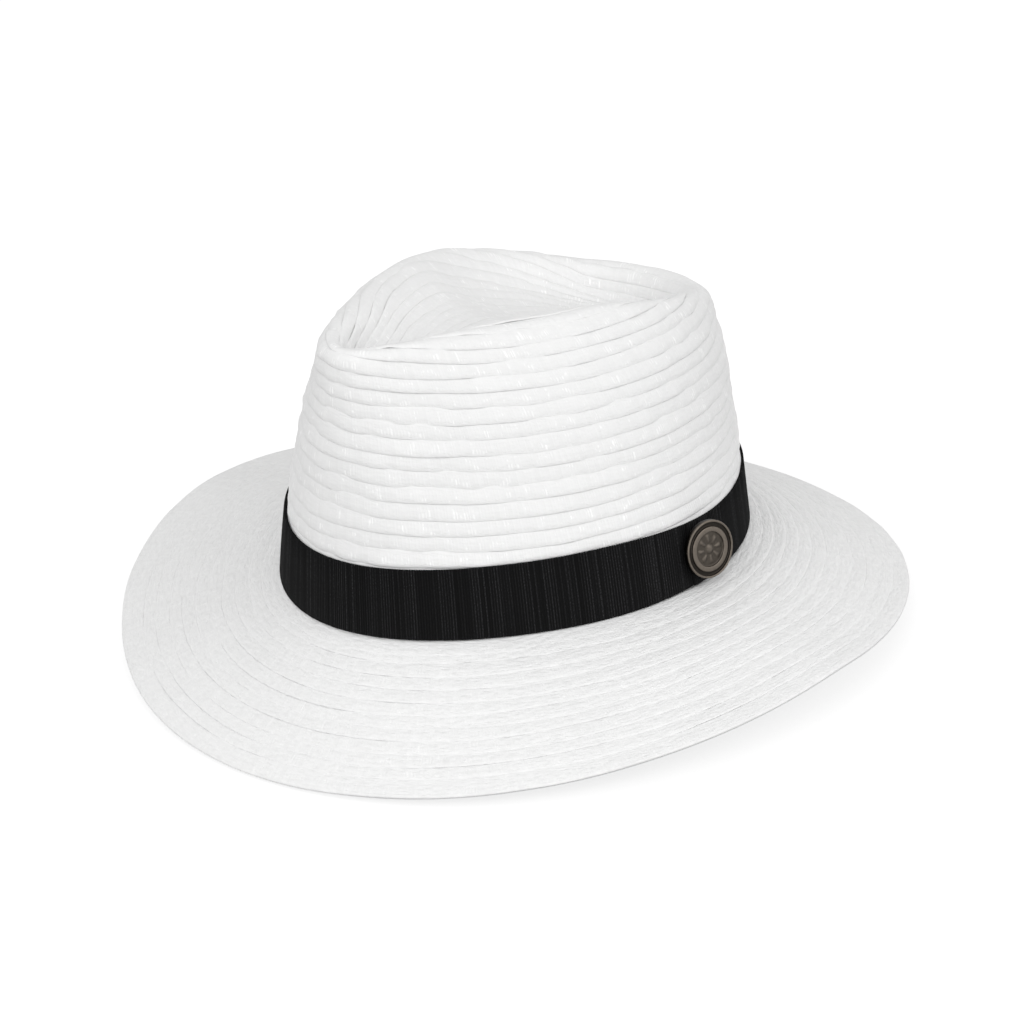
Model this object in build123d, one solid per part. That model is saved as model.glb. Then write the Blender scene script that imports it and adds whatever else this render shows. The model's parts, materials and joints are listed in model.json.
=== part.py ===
"""Panama hat sewn from paper braid, with a grosgrain ribbon and a round metal badge.

Frame: millimetres, +Z up, -Y is the front of the hat and +X the wearer's left.
The origin is the centre of the head opening, in the plane where crown and brim join.

The braid is one strip, sewn in laps from the tip of the crown down to the brim edge.
The hat body is therefore built from closed courses of braid. Each course lies over the
next lower one and ends in a small step, and the top of the crown is folded in under a
soft ridge, so its courses run over the ridge and down into the dent.
"""

from build123d import *
from functools import lru_cache
from math import atan2, cos, degrees, pi, radians, sin, tan, tanh
import os

# Braid
braid_thickness = 1.1            # one layer of paper braid
crown_pitch = 5.72               # visible height of one course on the crown
lap_width = 2.0                  # hidden part of a course, under the one above it
sewing_gap = 0.08                # air between two pieces that are sewn together

# Head opening, measured on the inner face of the braid
head_half_width = 84.8
head_half_length = 103.3
head_egg = 0.026                 # the back of the head is wider than the front
head_fullness = -0.029           # the oval is a little leaner than an ellipse

# Crown slopes from the vertical: at the base, and their growth at the lean reach
lean_reach = 100.0               # slant height at which the growths are given
side_lean = 8.6
side_lean_growth = 26.5
front_lean = 3.0
front_lean_growth = -1.1
back_lean = 3.0
back_lean_growth = 17.0
lean_power = 2.95
crown_egg_growth = 0.197         # the crown narrows towards its pinched front as it rises
crown_fullness_growth = -0.03
crown_foot = 1.5                 # lower edge of the side crown, above the brim
first_lap = 34.2                 # slant height of the first course edge over the ribbon
split_course = 8                 # courses of the side crown, counted from that edge
shoulder_slant = 114.5           # slant height at which the dome turns over
button_half_width = 4.5          # half width of the start loop of the braid
button_lift = 0.55               # the start loop stands this far over the floor of the dent

# Top dent: the dome is folded in under this ridge
ridge_height = 111.0
ridge_top = -9.4                 # Y at which the ridge is highest
ridge_run = 50.0                 # distance from there at which the falls are given
ridge_fall_back = 9.2
ridge_back_power = 1.4
ridge_fall_front = 0.14
ridge_front_power = 3.75
ridge_softness = 6.0             # half height of the rounded ridge
dent_depth = 20.0

# Brim
brim_half_width = 159.9
brim_front_reach = 157.8
brim_back_reach = 146.0
brim_fullness = -0.013           # the outline is a little leaner than an ellipse
brim_side_drop = 10.1
brim_front_drop = 38.4
brim_back_drop = 16.1
brim_front_power = 0.91
brim_back_power = 2.7
brim_side_softness = 0.05        # keeps the edge smooth where it is highest
brim_sag = 1.1                   # the brim hangs this far under its chord
brim_courses = 11
brim_first_lap = 0.118           # share of the brim's reach inside its first course edge
edge_share = 0.92                # share of the reach inside the folded edge course
edge_thickness = 2.4

# Ribbon
ribbon_width = 26.4
ribbon_thickness = 0.9
ribbon_clearance = 0.8           # room for the folded prongs behind the ribbon
ribbon_foot = 1.6                # lower edge of the ribbon

# Join of the ribbon and the badge over it, on the wearer's left
badge_turn = 2.7                 # degrees from +X towards the back
badge_height = 14.7
badge_swing = 14.0               # degrees that the badge is turned forward on its prongs
join_width = 16.0
join_thickness = 0.5
seat_gap = 0.3
badge_diameter = 22.5
badge_thickness = 2.4
rim_width = 0.9
channel_width = 1.6
channel_depth = 1.0
ring_width = 2.0
well_depth = 0.8
boss_diameter = 5.0
boss_rise = 0.5
boss_chamfer = 0.3
petal_count = 8
petal_length = 2.2
petal_width = 0.9
petal_rise = 0.25
prong_spacing = 9.0
prong_width = 2.6
prong_thickness = 0.3
prong_fold = 3.2
prong_slack = 0.4                # room behind the curved ribbon for the flat fold
slot_clearance = 0.25

# Sweatband
sweat_foot = 3.2
sweat_width = 30.0
sweat_thickness = 0.9
sweat_clearance = 0.3
reed_foot = 0.3
reed_width = 2.6
reed_thickness = 1.8
seam_tape_width = 12.0
seam_tape_thickness = 0.5
seam_tape_margin = 3.0

# Quality of the curves
course_points = 40               # spline points round one course
slope_steps = 40                 # steps of the slope integral
inner_shares = (0.66, 0.33)      # where the inner face of the side crown is held
brim_inner_share = 0.5           # where the lower face of the brim is held
patch_steps = 4                  # spline points on each side of the middle of a patch
normal_step = 0.01


def slope_at(lean, growth, slant, tip_slant):
    """Slope from the vertical of one meridian: it grows, then turns over to level."""
    wall = radians(lean + growth * (min(slant, shoulder_slant) / lean_reach) ** lean_power)
    if slant <= shoulder_slant:
        return wall
    share = min(1.0, (slant - shoulder_slant) / (tip_slant - shoulder_slant))
    return wall + (pi / 2 - wall) * share


def run_and_rise(lean, growth, slant, tip_slant):
    """How far one meridian has come in and up at a slant height."""
    step = slant / slope_steps
    run = 0.0
    rise = 0.0
    for number in range(slope_steps):
        slope = slope_at(lean, growth, (number + 0.5) * step, tip_slant)
        run += sin(slope) * step
        rise += cos(slope) * step
    return run, rise


def find_tip_slant():
    """Slant height at which the side meridian has come in to the button."""
    wall = slope_at(side_lean, side_lean_growth, shoulder_slant, shoulder_slant)
    run, _ = run_and_rise(side_lean, side_lean_growth, shoulder_slant, shoulder_slant)
    left = head_half_width - run - button_half_width
    mean_run = cos(wall) / (pi / 2 - wall)
    return shoulder_slant + left / mean_run


tip_slant = find_tip_slant()

# Heights of the inner faces of the ribbon and of its join over the inner face of the crown
ribbon_standoff = braid_thickness + ribbon_clearance
join_standoff = ribbon_standoff + ribbon_thickness + seat_gap

# The front of the brim hangs lower than the back, so the hat stands pitched by this angle
front_over_back = brim_front_drop - brim_back_drop
rest_pitch = -degrees(atan2(front_over_back, brim_front_reach + brim_back_reach))


@lru_cache(maxsize=None)
def crown_section(slant):
    """Half width, front and back half lengths and their heights at one slant height."""
    side = run_and_rise(side_lean, side_lean_growth, slant, tip_slant)
    front = run_and_rise(front_lean, front_lean_growth, slant, tip_slant)
    back = run_and_rise(back_lean, back_lean_growth, slant, tip_slant)
    return side, front, back


def full(turn, fullness):
    """Factor that makes an oval fuller or leaner between its four ends."""
    return 1 + fullness * sin(2 * turn) ** 2


def open_crown(turn, slant):
    """Point on the inner face of the crown before its top is folded in."""
    side, front, back = crown_section(slant)
    run, rise = back if sin(turn) > 0 else front
    share = min(slant, shoulder_slant) / lean_reach
    egg = head_egg + crown_egg_growth * share**2
    plan = full(turn, head_fullness + crown_fullness_growth * share**2)
    x = (head_half_width - side[0]) * cos(turn) * (1 + egg * sin(turn)) * plan
    y = (head_half_length - run) * sin(turn) * plan
    z = side[1] * cos(turn) ** 2 + rise * sin(turn) ** 2
    return Vector(x, y, z)


def ridge_at(y):
    """Height of the ridge line along the hat."""
    behind = (max(0.0, y - ridge_top) / ridge_run) ** ridge_back_power
    ahead = (max(0.0, ridge_top - y) / ridge_run) ** ridge_front_power
    return ridge_height - ridge_fall_back * behind - ridge_fall_front * ahead


def fold(rise):
    """Height over the ridge line after folding: up, round the soft ridge, and down."""
    if rise < -ridge_softness:
        return rise
    if rise < ridge_softness:
        return -ridge_softness / 2 - rise**2 / (2 * ridge_softness)
    depth = dent_depth - ridge_softness
    return -ridge_softness - depth * tanh((rise - ridge_softness) / depth)


def crown_face(turn, slant):
    """Point on the inner face of the finished crown."""
    point = open_crown(turn, slant)
    level = ridge_at(point.Y)
    return Vector(point.X, point.Y, level + fold(point.Z - level))


def dip(turn, power):
    """Share of the brim's extra drop at one angle: 0 at the sides, 1 at front or back."""
    soft = brim_side_softness
    low = soft ** (power / 2)
    high = (1 + soft) ** (power / 2)
    return ((sin(turn) ** 2 + soft) ** (power / 2) - low) / (high - low)


def brim_edge(turn):
    """Point on the outer edge of the brim."""
    if sin(turn) > 0:
        reach = brim_back_reach
        drop = (brim_back_drop - brim_side_drop) * dip(turn, brim_back_power)
    else:
        reach = brim_front_reach
        drop = (brim_front_drop - brim_side_drop) * dip(turn, brim_front_power)
    plan = full(turn, brim_fullness)
    x = brim_half_width * cos(turn) * plan
    return Vector(x, reach * sin(turn) * plan, -brim_side_drop - drop)


def brim_face(turn, share):
    """Point on the lower face of the brim; share is 0 at the crown and 1 at the edge."""
    start = open_crown(turn, 0.0)
    point = start * (1 - share) + brim_edge(turn) * share
    return point - Vector(0, 0, brim_sag * 4 * share * (1 - share))


def lifted(face, turn, place, height):
    """Point at a height over a face, along its normal to the outside."""
    step = normal_step
    along = face(turn + step, place) - face(turn - step, place)
    down = -1 if face is brim_face else 1
    across = (face(turn, place + step) - face(turn, place - step)) * down
    return face(turn, place) + along.cross(across).normalized() * height


def course_line(face, place, height):
    """Closed curve round the hat at one place and height over a face."""
    turns = [2 * pi * index / course_points for index in range(course_points)]
    points = [lifted(face, turn, place, height) for turn in turns]
    knots = [index / course_points for index in range(course_points + 1)]
    return Edge.make_spline(points, periodic=True, parameters=knots)


def half_lines(face, place, height):
    """Left and right half of a closed course, both drawn from the front to the back."""
    count = course_points // 2
    halves = []
    for side in (1, -1):
        angles = [-pi / 2 + side * pi * index / count for index in range(count + 1)]
        points = [lifted(face, turn, place, height) for turn in angles]
        points[0] = middle_of(points[0])
        points[-1] = middle_of(points[-1])
        halves.append(Edge.make_spline(points))
    return halves


def middle_of(point):
    """The same point on the middle plane of the hat."""
    return Vector(0, point.Y, point.Z)


def ring_solid(lines):
    """Solid ring whose faces run from each closed line to the next, and back again."""
    pairs = zip(lines, lines[1:] + lines[:1])
    faces = [Face.make_surface_from_curves(low, high) for low, high in pairs]
    return outward(Solid(Shell(faces)))


def outward(solid):
    """The same solid with its faces turned to the outside."""
    return solid if solid.volume > 0 else Solid(Shell([-face for face in solid.faces()]))


def lapped_lines(face, laps, end):
    """Saw-tooth section of lapped courses: the step at each lap, then the lean course."""
    lines = []
    for lap in laps:
        lines.append(course_line(face, lap, braid_thickness))
        lines.append(course_line(face, lap, 2 * braid_thickness))
    lines.append(course_line(face, end, braid_thickness))
    return lines


def side_crown_laps():
    """Slant heights of the course edges on the side crown."""
    return [first_lap + crown_pitch * number for number in range(split_course)]


def side_crown():
    """Plain foot under the ribbon, then the lapped courses up to the tip piece."""
    top = first_lap + crown_pitch * split_course
    outer = lapped_lines(crown_face, side_crown_laps(), top)
    foot = course_line(crown_face, crown_foot, braid_thickness)
    overlap = course_line(crown_face, top + lap_width, braid_thickness)
    places = [top + lap_width] + [share * top for share in inner_shares] + [crown_foot]
    inner = [course_line(crown_face, place, 0.0) for place in places]
    return ring_solid([foot] + outer + [overlap] + inner)


def crown_tip_laps():
    """Slant heights of the course edges from the side crown over the ridge to the button."""
    start = first_lap + crown_pitch * split_course
    count = int((tip_slant - start) / crown_pitch)
    pitch = (tip_slant - start) / (count + 1)
    return [start] + [start + pitch * number for number in range(1, count + 1)]


def crown_tip():
    """Courses that run over the ridge and down into the dent, lapped over the side crown."""
    laps = crown_tip_laps()
    tucked = braid_thickness + sewing_gap
    start = course_line(crown_face, laps[0], tucked)
    under = course_line(crown_face, laps[0] + lap_width + sewing_gap, tucked)
    seat = course_line(crown_face, laps[0] + lap_width + sewing_gap, 0.0)
    outer = lapped_lines(crown_face, laps, tip_slant)[1:]
    inner = [course_line(crown_face, place, 0.0) for place in [tip_slant] + laps[:0:-2]]
    return ring_solid([start] + outer + inner + [seat, under])


def tip_button():
    """Start loop of the braid, a long oval plate that closes the floor of the dent."""
    place = tip_slant - lap_width
    height = braid_thickness + button_lift + sewing_gap
    low = half_lines(crown_face, place, height)
    high = half_lines(crown_face, place, height + braid_thickness)
    faces = [Face.make_surface_from_curves(*low), Face.make_surface_from_curves(*high)]
    faces += [Face.make_surface_from_curves(*pair) for pair in zip(low, high)]
    return outward(Solid(Shell(faces)))


def brim():
    """Lapped courses from the head opening out to the folded edge course."""
    step = (edge_share - brim_first_lap) / (brim_courses - 1)
    laps = [brim_first_lap + step * number for number in range(brim_courses)]
    lines = [course_line(brim_face, 0.0, braid_thickness)]
    for lap in laps:
        lines.append(course_line(brim_face, lap, 2 * braid_thickness))
        lines.append(course_line(brim_face, lap, braid_thickness))
    inner = [course_line(brim_face, place, 0.0) for place in (edge_share, brim_inner_share, 0.0)]
    return ring_solid(lines[:-1] + inner)


def brim_edge_course():
    """Folded outer course that closes the brim."""
    inside = edge_share + sewing_gap / (brim_half_width - head_half_width)
    low = [course_line(brim_face, place, 0.0) for place in (1.0, inside)]
    high = [course_line(brim_face, place, edge_thickness) for place in (inside, 1.0)]
    return ring_solid(low + high)


def ribbon_section(standoff, thickness):
    """Corners of a band as wide as the ribbon, as slant heights and heights over the crown."""
    top = ribbon_foot + ribbon_width
    far = standoff + thickness
    return [(ribbon_foot, standoff), (ribbon_foot, far), (top, far), (top, standoff)]


def ribbon():
    """Grosgrain ribbon steamed to the crown, with slots for the prongs of the badge."""
    section = ribbon_section(ribbon_standoff, ribbon_thickness)
    return ring_solid([course_line(crown_face, *corner) for corner in section]) - prong_slots()


def patch_solid(face, turn, width, corners):
    """Curved plate over part of the round, from the corners of its section."""
    step = normal_step
    speed = (face(turn + step, corners[0][0]) - face(turn - step, corners[0][0])).length
    half_angle = width / 2 * (2 * step / speed)
    shares = [index / patch_steps for index in range(-patch_steps, patch_steps + 1)]
    angles = [turn + half_angle * share for share in shares]
    lines = []
    ends = []
    for place, height in corners:
        points = [lifted(face, angle, place, height) for angle in angles]
        lines.append(Edge.make_spline(points))
        ends.append((points[0], points[-1]))
    pairs = zip(lines, lines[1:] + lines[:1])
    faces = [Face.make_surface_from_curves(low, high) for low, high in pairs]
    for end in (0, 1):
        near = Edge.make_line(ends[0][end], ends[1][end])
        far = Edge.make_line(ends[3][end], ends[2][end])
        faces.append(Face.make_surface_from_curves(near, far))
    return outward(Solid(Shell(faces)))


def ribbon_join():
    """End of the ribbon, lapped over its start under the badge."""
    section = ribbon_section(join_standoff, join_thickness)
    plate = patch_solid(crown_face, radians(badge_turn), join_width, section)
    return plate - prong_slots()


def join_face(turn, slant):
    """Point on the outer face of the ribbon join."""
    return lifted(crown_face, turn, slant, join_standoff + join_thickness)


def seat_plane():
    """Plane just over the ribbon join, with its Z to the outside and its X to the back."""
    turn = radians(badge_turn)
    origin = lifted(join_face, turn, badge_height, seat_gap)
    outside = (origin - join_face(turn, badge_height)).normalized()
    return Plane(origin, x_dir=Vector(0, 0, 1).cross(outside), z_dir=outside)


def badge_lift():
    """How far the middle of the badge stands off, with its front edge at its seat."""
    return badge_diameter / 2 * sin(radians(badge_swing))


def badge_place():
    """Place of the back of the badge, turned forward about its front edge."""
    return seat_plane().location * Pos(0, 0, badge_lift()) * Rot(0, -badge_swing, 0)


def badge():
    """Round medal: thin rim, channel, raised ring and a well with a plain rosette."""
    rim = badge_diameter / 2
    channel = rim - rim_width
    ring = channel - channel_width
    well = ring - ring_width
    top = badge_thickness
    floor = top - well_depth
    outline = Polyline(
        (0, 0),
        (rim, 0),
        (rim, top),
        (channel, top),
        (channel, top - channel_depth),
        (ring, top - channel_depth),
        (ring, top),
        (well, top),
        (well, floor),
        (0, floor),
        close=True,
    )
    medal = revolve(Plane.XZ * make_face(outline), Axis.Z)
    boss = Pos(0, 0, floor) * Cylinder(boss_diameter / 2, 2 * boss_rise)
    medal += chamfer(boss.edges().group_by(Axis.Z)[-1], boss_chamfer)
    petal = extrude(SlotOverall(petal_length, petal_width), petal_rise)
    reach = (boss_diameter / 2 + well) / 2
    medal += [
        Pos(0, 0, floor) * Rot(0, 0, 360 * number / petal_count) * Pos(reach, 0, 0) * petal
        for number in range(petal_count)
    ]
    return badge_place() * medal


def prong_reach():
    """Length of a prong from the seat of the badge to the far side of its fold."""
    layers = join_thickness + ribbon_thickness + 2 * seat_gap
    return layers + prong_slack + prong_thickness


def badge_prong(side):
    """Flat prong from the badge through both ribbon layers, folded over behind them."""
    reach = prong_reach()
    middle = side * prong_spacing / 2
    top = badge_lift() + (middle - prong_thickness / 2) * tan(radians(badge_swing))
    leg = Pos(middle, 0, (top - reach) / 2) * Box(prong_thickness, prong_width, top + reach)
    foot = Box(prong_fold, prong_width, prong_thickness)
    foot = Pos(middle + side * prong_fold / 2, 0, -reach + prong_thickness / 2) * foot
    return seat_plane() * (leg + foot)


def prong_slots():
    """Cutters for the slots that both prongs pass through."""
    slot = Box(
        prong_thickness + 2 * slot_clearance,
        prong_width + 2 * slot_clearance,
        2 * prong_reach(),
    )
    return [seat_plane() * Pos(side * prong_spacing / 2, 0, 0) * slot for side in (1, -1)]


def lining_ring(foot, width, clearance, thickness):
    """Ring inside the crown, between two slant heights."""
    slants = [foot, foot + width / 2, foot + width]
    far = [course_line(crown_face, slant, -clearance - thickness) for slant in slants]
    near = [course_line(crown_face, slant, -clearance) for slant in slants[::-1]]
    return ring_solid(far + near)


def sweatband():
    """Band that lines the head opening."""
    return lining_ring(sweat_foot, sweat_width, sweat_clearance, sweat_thickness)


def sweatband_reed():
    """Rolled lower edge of the sweatband, sewn to the crown and brim join."""
    return lining_ring(reed_foot, reed_width, sweat_clearance, reed_thickness)


def sweatband_seam_tape():
    """Tape over the back seam of the sweatband."""
    near = -(sweat_clearance + sweat_thickness + seat_gap)
    far = near - seam_tape_thickness
    low = sweat_foot + seam_tape_margin
    high = sweat_foot + sweat_width - seam_tape_margin
    corners = [(low, near), (low, far), (high, far), (high, near)]
    return patch_solid(crown_face, pi / 2, seam_tape_width, corners)


def write(node, shape):
    """Write one sub-part, in the pose in which the hat stands on its brim."""
    export_step(Rot(rest_pitch, 0, 0) * shape, f"parts/{node}.step")


os.makedirs("parts", exist_ok=True)
write("tip_button", tip_button())
write("crown_tip", crown_tip())
write("side_crown", side_crown())
write("brim", brim())
write("brim_edge_course", brim_edge_course())
write("ribbon", ribbon())
write("ribbon_join", ribbon_join())
write("badge", badge())
write("badge_prong_front", badge_prong(-1))
write("badge_prong_back", badge_prong(1))
write("sweatband", sweatband())
write("sweatband_reed", sweatband_reed())
write("sweatband_seam_tape", sweatband_seam_tape())
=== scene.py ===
"""Looks of a hat sewn from white paper braid, with a grosgrain ribbon and a round medal.

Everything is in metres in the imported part's own frame. The hat body is worked out in an
upright frame, +Z along the crown, and is then leaned into the pose in which it stands.
"""

import json
import math

import bpy
import numpy as np
from mathutils import Matrix, Vector


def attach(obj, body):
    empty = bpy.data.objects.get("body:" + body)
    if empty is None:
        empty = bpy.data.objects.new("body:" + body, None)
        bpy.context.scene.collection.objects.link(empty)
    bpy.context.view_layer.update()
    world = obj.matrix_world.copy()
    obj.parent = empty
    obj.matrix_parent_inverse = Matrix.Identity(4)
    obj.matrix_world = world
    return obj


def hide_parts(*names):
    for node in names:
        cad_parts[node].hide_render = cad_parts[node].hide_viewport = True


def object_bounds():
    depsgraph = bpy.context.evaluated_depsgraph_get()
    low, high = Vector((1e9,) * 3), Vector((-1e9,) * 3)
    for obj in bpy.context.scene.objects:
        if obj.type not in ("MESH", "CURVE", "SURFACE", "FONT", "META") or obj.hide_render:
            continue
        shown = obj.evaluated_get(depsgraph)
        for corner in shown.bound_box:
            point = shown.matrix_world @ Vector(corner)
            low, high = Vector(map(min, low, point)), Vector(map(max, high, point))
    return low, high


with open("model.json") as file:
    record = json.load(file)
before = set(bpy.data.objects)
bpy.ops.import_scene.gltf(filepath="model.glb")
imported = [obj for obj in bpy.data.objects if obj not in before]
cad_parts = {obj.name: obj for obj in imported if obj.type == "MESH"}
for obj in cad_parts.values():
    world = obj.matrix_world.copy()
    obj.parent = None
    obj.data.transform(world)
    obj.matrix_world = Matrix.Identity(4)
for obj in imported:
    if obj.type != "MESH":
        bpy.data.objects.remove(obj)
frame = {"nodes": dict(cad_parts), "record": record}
cad_low, cad_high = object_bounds()
mm = 0.001

# Braid
layer = 1.1 * mm                 # thickness of the braid
crown_pitch = 5.72 * mm          # visible width of a course on the crown

# Head opening and crown
head_half_width = 84.8 * mm
head_half_length = 103.3 * mm
head_egg = 0.026
head_fullness = -0.029
lean_reach = 100.0 * mm
side_lean = (8.6, 26.5)          # degrees from the vertical, and growth at the lean reach
front_lean = (3.0, -1.1)
back_lean = (3.0, 17.0)
lean_power = 2.95
crown_egg_growth = 0.197
crown_fullness_growth = -0.03
first_lap = 34.2 * mm
split_course = 8
hidden_courses = 6               # courses behind the ribbon
row_top = math.radians(-115.0)   # where the courses run highest
row_reach = math.radians(95.0)   # and how far from there they are level again
tip_margin = 0.3 * mm            # the last course stops this far before the tip
shoulder_slant = 114.5 * mm
button_half_width = 4.5 * mm

# Fold of the crown top
ridge_height = 111.0 * mm
ridge_top = -9.4 * mm
ridge_run = 50.0 * mm
ridge_back = (9.2 * mm, 1.4)     # fall in one run behind the top, and its power
ridge_front = (0.14 * mm, 3.75)
ridge_softness = 6.0 * mm
dent_depth = 20.0 * mm
level_start = 90.0 * mm          # from here on behind the top the ridge falls less
level_lift = 4.0 * mm            # by this much
ridge_roll = 6.0 * mm            # the folded side stands this far inside the wall
dent_half_run = 45.0 * mm        # the dent closes towards this length of the middle line
hollow_depth = 9.0 * mm          # the middle of the dent is pressed this much deeper
hollow_place, hollow_run = 12.0 * mm, 42.0 * mm

# Brim
brim_half_width = 159.9 * mm
brim_front_reach = 157.8 * mm
brim_back_reach = 146.0 * mm
brim_fullness = -0.013
brim_side_drop = 10.1 * mm
brim_front_drop = 38.4 * mm
brim_back_drop = 16.1 * mm
brim_front_power = 0.91
brim_back_power = 2.7
brim_side_softness = 0.05
brim_sag = 1.1 * mm
brim_courses = 11
brim_first_lap = 0.118
edge_share = 0.92
brim_start = 0.03                # the foot of the brim begins at this share of its width

# Irregularity of the courses: how many waves in one turn, and how far they go
wobbles = ((34, 0.28 * mm), (11, 0.30 * mm))
puffs = ((70, 0.32 * mm), (17, 0.38 * mm))
puff_sink = 0.08 * mm            # the puffs are pressed down again by this much
least_scale = 0.4                # no course is squeezed further than this where the face gathers

# Laps: how far the free edges stand out
buried = 1.12                    # height of a course where the next one covers it, in layers
brim_lap_strength = 0.5          # the brim is pressed flatter than the crown
dent_flatness = 0.6              # the laps inside the dent lose this much
dent_flat_start, dent_flat_run = 6.0 * mm, 14.0 * mm     # past the shoulder
dent_front, dent_front_run = 0.5, 0.3        # but not at its front, by the sine of the turn

# Steps by which the slopes of the faces are taken, and stations in one turn
slant_step = 0.2 * mm
share_step = 0.002
turn_step = 0.002
meridian_steps = 1600
crown_stations, brim_stations = 480, 640
edge_stations, ring_stations = 720, 480

# Ribbon
ribbon_width = 26.4 * mm
ribbon_thickness = 0.9 * mm
ribbon_clearance = 0.8 * mm
ribbon_foot = 1.6 * mm
rib_pitch = 1.1 * mm
rib_height = 0.22 * mm
tooth = 0.25 * mm                # the edges wave this much between two ribs
ribbon_hang = 1.3 * mm           # the lower edge lies lower in front
ribbon_dip = 2.6 * mm            # the upper edge lies lower behind
badge_turn = math.radians(2.7)
join_width = 12.0 * mm
join_thickness = 0.5 * mm
seat_gap = 0.3 * mm
behind_start, behind_run = -0.45, 0.7        # front gives way to back, by the sine of the turn

# Medal
rim_width = 0.9 * mm
channel_width, channel_depth = 1.6 * mm, 1.0 * mm
ring_width = 2.0 * mm
well_depth = 0.8 * mm
medal_edge = 0.3 * mm
medal_rounding = 0.4 * mm
medal_stations, well_rings = 144, 22
boss_height, boss_reach = 0.50 * mm, 0.26    # reaches and places are shares of the well
petal_count, petal_height = 8, 0.34 * mm
petal_place, petal_reach = 0.60, 0.24
petal_side_power, petal_end_power = 0.7, 0.6

# Sweatband
sweat_foot = 3.2 * mm
sweat_width = 30.0 * mm
sweat_thickness = 0.9 * mm
sweat_clearance = 0.3 * mm
reed_foot = 0.3 * mm
reed_width = 2.6 * mm
reed_thickness = 1.8 * mm

# Lamps: place, size and power
world_strength = 0.73
key_lamp = ((0.45, -1.65, 0.88), 1.4, 13.5)
fill_lamp = ((1.9, 0.4, 0.9), 1.4, 11.0)

random = np.random.RandomState(4)


# ---------------------------------------------------------------- hat shape

hat_down = Vector(frame["record"]["mounts"][0]["axis"]).normalized()
hat_up = -hat_down
hat_left = Vector((1, 0, 0))
hat_back = hat_up.cross(hat_left)
hat_axes = np.array([hat_left, hat_back, hat_up])


def stand(points):
    """Points of the upright hat, in the pose in which the hat stands."""
    return points @ hat_axes


def wall_lean(lean, slant):
    """Lean of the wall from the vertical, in degrees."""
    start, growth = lean
    return start + growth * (slant / lean_reach) ** lean_power


def slope(lean, slant, tip):
    """Slope from the vertical of one meridian: the wall's lean, then over to level at the tip."""
    wall = np.radians(wall_lean(lean, np.minimum(slant, shoulder_slant)))
    over = np.clip((slant - shoulder_slant) / (tip - shoulder_slant), 0, 1)
    return wall + (math.pi / 2 - wall) * over


def meridian(lean, tip):
    """Table of how far one meridian has come in and up at each slant height."""
    slants = np.linspace(0, tip, meridian_steps)
    step = slants[1]
    middle = slope(lean, slants[:-1] + step / 2, tip)
    run = np.concatenate([[0], np.cumsum(np.sin(middle) * step)])
    rise = np.concatenate([[0], np.cumsum(np.cos(middle) * step)])
    return slants, run, rise


def find_tip():
    """Slant height at which the side meridian has come in to the start of the braid."""
    just_past = 1.0001
    _, run, _ = meridian(side_lean, shoulder_slant * just_past)
    wall = math.radians(wall_lean(side_lean, shoulder_slant))
    left = head_half_width - run[-1] - button_half_width
    return shoulder_slant + left * (math.pi / 2 - wall) / math.cos(wall)


tip_slant = find_tip()
side_table = meridian(side_lean, tip_slant)
front_table = meridian(front_lean, tip_slant)
back_table = meridian(back_lean, tip_slant)


def look_up(table, slant):
    """How far a meridian has come in and up at a slant height."""
    slants, run, rise = table
    return np.interp(slant, slants, run), np.interp(slant, slants, rise)


def full(turn, fullness):
    """Factor that makes an oval fuller or leaner between its four ends."""
    return 1 + fullness * np.sin(2 * turn) ** 2


def open_crown(turn, slant):
    """Inner face of the crown before its top is folded in."""
    turn, slant = np.broadcast_arrays(turn, slant)
    sine, cosine = np.sin(turn), np.cos(turn)
    side_run, side_rise = look_up(side_table, slant)
    front_run, front_rise = look_up(front_table, slant)
    back_run, back_rise = look_up(back_table, slant)
    run = np.where(sine > 0, back_run, front_run)
    rise = np.where(sine > 0, back_rise, front_rise)
    share = np.minimum(slant, shoulder_slant) / lean_reach
    egg = head_egg + crown_egg_growth * share**2
    plan = full(turn, head_fullness + crown_fullness_growth * share**2)
    x = (head_half_width - side_run) * cosine * (1 + egg * sine) * plan
    y = (head_half_length - run) * sine * plan
    z = side_rise * cosine**2 + rise * sine**2
    return np.stack([x, y, z], axis=-1)


def ridge_at(y):
    """Height of the ridge line along the hat."""
    fall = 0.0
    for away, (size, power) in ((y - ridge_top, ridge_back), (ridge_top - y, ridge_front)):
        fall = fall + size * (np.maximum(0, away) / ridge_run) ** power
    level = smooth_step((y - ridge_top - level_start) / (ridge_run / 2))
    return ridge_height - fall + level_lift * level


def smooth_step(share):
    """Smooth change from 0 to 1."""
    share = np.clip(share, 0, 1)
    return share * share * (3 - 2 * share)


def fold(rise):
    """Height over the ridge line after folding: up, round the soft ridge, and down."""
    soft = ridge_softness
    depth = dent_depth - soft
    round_top = -soft / 2 - rise**2 / (2 * soft)
    inside = -soft - depth * np.tanh((rise - soft) / depth)
    return np.where(rise < -soft, rise, np.where(rise < soft, round_top, inside))


def crown_face(turn, slant):
    """Inner face of the finished crown, with its top rolled over a rounded ridge."""
    points = open_crown(turn, slant)
    level = ridge_at(points[..., 1])
    rise = points[..., 2] - level
    points[..., 2] = level + fold(rise)
    inward = points[..., :2].copy()
    inward[..., 1] -= np.clip(inward[..., 1], -dent_half_run, dent_half_run)
    away = np.linalg.norm(inward, axis=-1, keepdims=True) + 0.01 * mm
    rolled = smooth_step(rise / (2 * ridge_softness) + 0.5)[..., None]
    points[..., :2] -= inward / away * ridge_roll * away / (away + ridge_roll) * rolled
    hollow = np.exp(-(((points[..., 1] - hollow_place) / hollow_run) ** 2))
    points[..., 2] -= hollow_depth * rolled[..., 0] * hollow
    return points


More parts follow.
